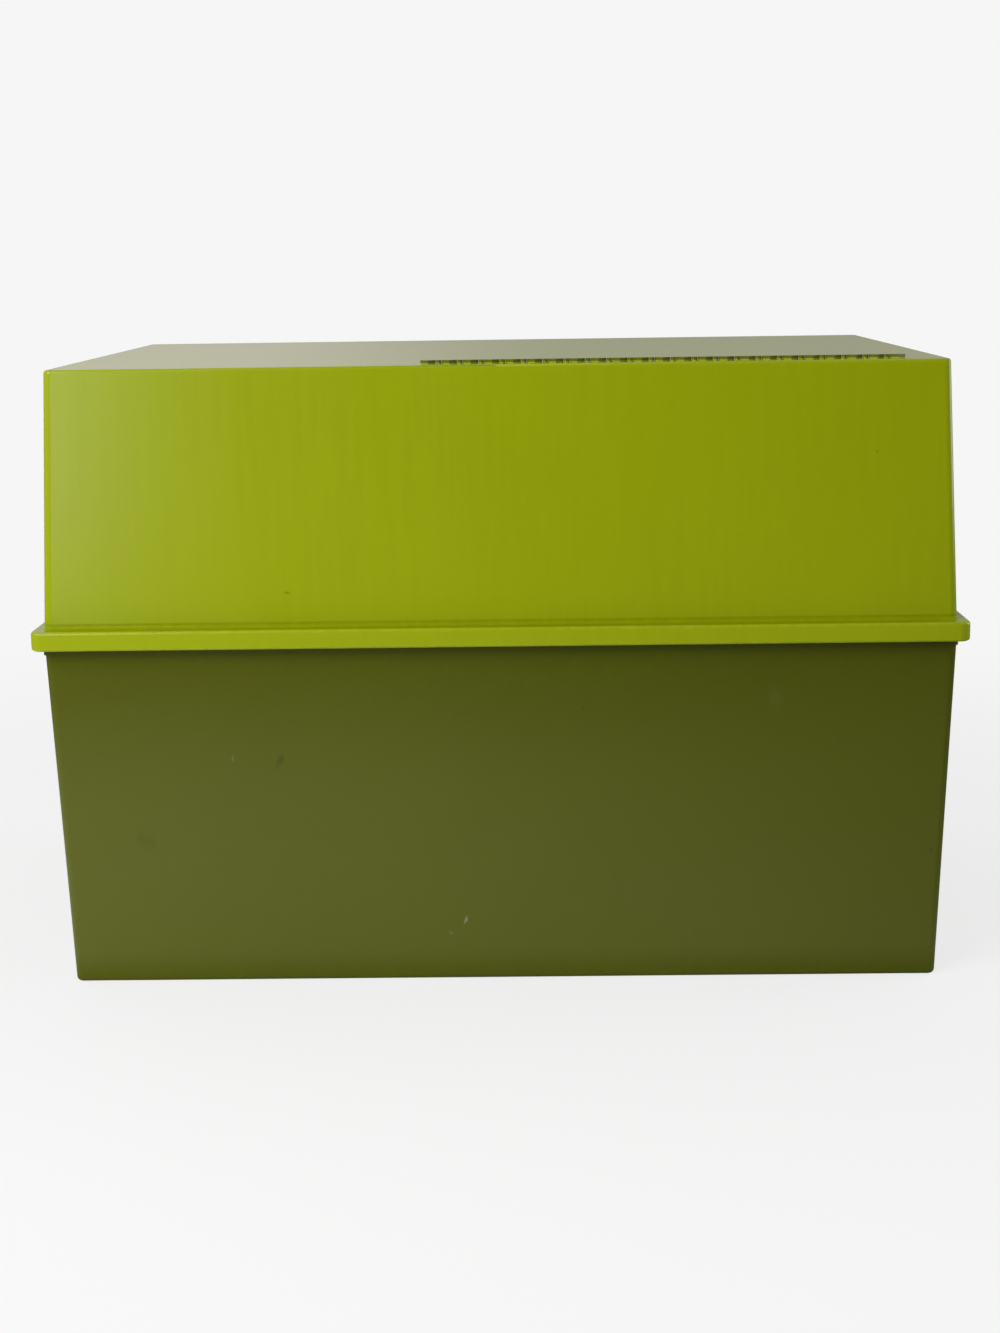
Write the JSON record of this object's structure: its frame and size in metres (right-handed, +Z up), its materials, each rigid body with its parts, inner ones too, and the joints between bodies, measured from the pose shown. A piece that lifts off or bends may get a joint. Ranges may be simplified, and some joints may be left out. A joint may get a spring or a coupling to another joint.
{
  "type": "card file box",
  "caption": "Moulded plastic recipe card box with a tapered tub, a deep rimmed lid on two pinned barrel hinges at the back, and tabbed index guides that fan forward inside.",
  "frame": {"origin": "on the surface that the box stands on, under the middle of the whole box with its hinges", "axes": "+X to the right along the width, -Y towards the front, +Z up; the lid is shut"},
  "size_m": [0.142, 0.1072, 0.0964],
  "materials": {
    "tub_plastic": "satin",
    "lid_plastic": "satin",
    "pin_steel": "satin",
    "guide_card": "matte"
  },
  "bodies": {
    "tub": {"base_tub": "tub_plastic", "left_hinge_pin": "pin_steel", "right_hinge_pin": "pin_steel"},
    "lid": {"lid": "lid_plastic"},
    "index_guide_1": {"index_guide_1": "guide_card"},
    "index_guide_2": {"index_guide_2": "guide_card"},
    "index_guide_3": {"index_guide_3": "guide_card"},
    "index_guide_4": {"index_guide_4": "guide_card"},
    "index_guide_5": {"index_guide_5": "guide_card"},
    "index_guide_6": {"index_guide_6": "guide_card"},
    "index_guide_7": {"index_guide_7": "guide_card"},
    "index_guide_8": {"index_guide_8": "guide_card"}
  },
  "joints": [
    {"name": "lid_hinge", "type": "hinge", "parent": "tub", "child": "lid", "pos_m": [0, 0.05043, 0.053], "axis": [-1, 0, 0], "range_deg": [0, 105]},
    {"name": "index_guide_1_tilt", "type": "hinge", "parent": "tub", "child": "index_guide_1", "pos_m": [0, 0.00904, 0.0025], "axis": [1, 0, 0], "range_deg": [0, 45]},
    {"name": "index_guide_2_tilt", "type": "hinge", "parent": "tub", "child": "index_guide_2", "pos_m": [0, 0.01224, 0.0025], "axis": [1, 0, 0], "range_deg": [0, 39.38]},
    {"name": "index_guide_3_tilt", "type": "hinge", "parent": "tub", "child": "index_guide_3", "pos_m": [0, 0.01544, 0.0025], "axis": [1, 0, 0], "range_deg": [0, 33.75]},
    {"name": "index_guide_4_tilt", "type": "hinge", "parent": "tub", "child": "index_guide_4", "pos_m": [0, 0.01864, 0.0025], "axis": [1, 0, 0], "range_deg": [0, 28.12]},
    {"name": "index_guide_5_tilt", "type": "hinge", "parent": "tub", "child": "index_guide_5", "pos_m": [0, 0.02184, 0.0025], "axis": [1, 0, 0], "range_deg": [0, 22.5]},
    {"name": "index_guide_6_tilt", "type": "hinge", "parent": "tub", "child": "index_guide_6", "pos_m": [0, 0.02504, 0.0025], "axis": [1, 0, 0], "range_deg": [0, 16.88]},
    {"name": "index_guide_7_tilt", "type": "hinge", "parent": "tub", "child": "index_guide_7", "pos_m": [0, 0.02824, 0.0025], "axis": [1, 0, 0], "range_deg": [0, 11.25]},
    {"name": "index_guide_8_tilt", "type": "hinge", "parent": "tub", "child": "index_guide_8", "pos_m": [0, 0.03144, 0.0025], "axis": [1, 0, 0], "range_deg": [0, 5.62]}
  ],
  "couplings": [
    {"joint": "index_guide_2_tilt", "follows": "index_guide_1_tilt", "ratio": 0.875},
    {"joint": "index_guide_3_tilt", "follows": "index_guide_1_tilt", "ratio": 0.75},
    {"joint": "index_guide_4_tilt", "follows": "index_guide_1_tilt", "ratio": 0.625},
    {"joint": "index_guide_5_tilt", "follows": "index_guide_1_tilt", "ratio": 0.5},
    {"joint": "index_guide_6_tilt", "follows": "index_guide_1_tilt", "ratio": 0.375},
    {"joint": "index_guide_7_tilt", "follows": "index_guide_1_tilt", "ratio": 0.25},
    {"joint": "index_guide_8_tilt", "follows": "index_guide_1_tilt", "ratio": 0.125}
  ]
}
